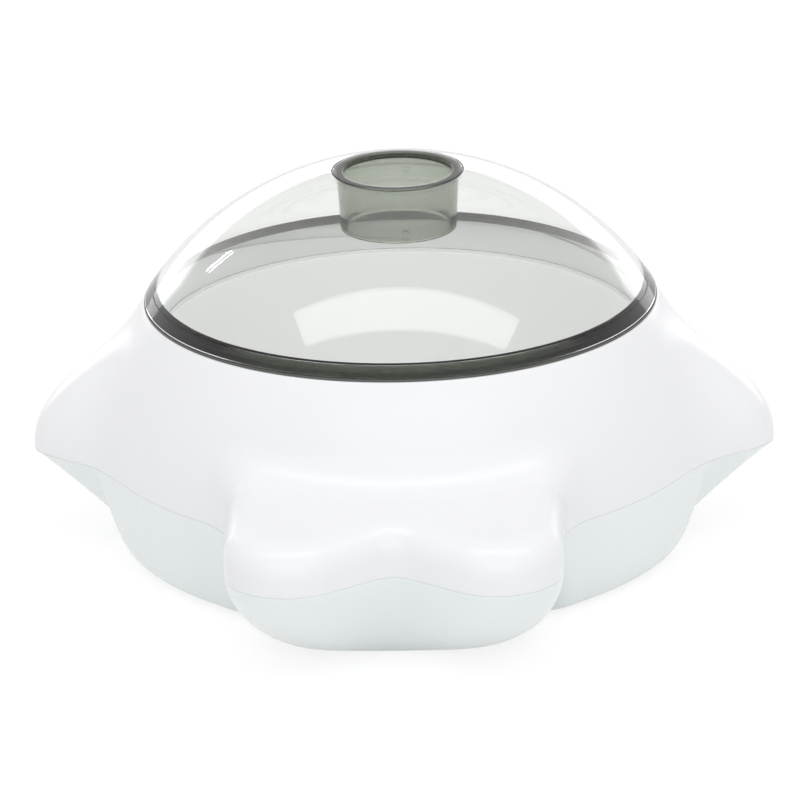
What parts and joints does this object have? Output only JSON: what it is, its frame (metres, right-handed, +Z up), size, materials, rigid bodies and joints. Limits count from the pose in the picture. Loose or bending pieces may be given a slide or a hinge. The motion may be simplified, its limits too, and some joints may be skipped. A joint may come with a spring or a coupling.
{
  "type": "pet food dispenser",
  "caption": "Low round pet food dispenser with bone-end lobes, side wings, a liner bowl and a clear dome lid with a smoked drop tube that lifts as it turns.",
  "frame": {"origin": "on the floor under the dome's centre line", "axes": "+Z up, -Y towards the front lobe, +X towards the right wing as seen from the front"},
  "size_m": [0.252, 0.2918, 0.129],
  "materials": {
    "upper_shell_plastic": "glossy white moulded plastic",
    "lower_shell_plastic": "glossy white moulded plastic, a shade greyer",
    "bowl_plastic": "smooth white moulded plastic",
    "clear_plastic": "polished clear plastic with a faint grey-green tint",
    "smoked_plastic": "polished smoked clear plastic",
    "seal_rubber": "matt soft rubber",
    "screw_steel": "plated steel",
    "foot_rubber": "matt grey rubber"
  },
  "bodies": {
    "housing": {"upper_shell": "upper_shell_plastic", "lower_shell": "lower_shell_plastic", "shell_screws": "screw_steel", "food_bowl": "bowl_plastic", "foot_front_left": "foot_rubber", "foot_front_right": "foot_rubber", "foot_rear_left": "foot_rubber", "foot_rear_right": "foot_rubber"},
    "seal": {"lid_seal": "seal_rubber"},
    "lid": {"dome": "clear_plastic", "drop_tube": "smoked_plastic", "lid_ring": "smoked_plastic"}
  },
  "joints": [
    {"name": "lid_rise", "type": "slide", "parent": "housing", "child": "seal", "axis": [0, 0, 1], "range_m": [0, 0.0076]},
    {"name": "lid_turn", "type": "hinge", "parent": "seal", "child": "lid", "pos_m": [0, 0, 0.0787], "axis": [0, 0, 1], "range_deg": [0, 60]}
  ],
  "couplings": [
    {"joint": "lid_rise", "follows": "lid_turn", "m_per_rad": 0.0072574}
  ]
}
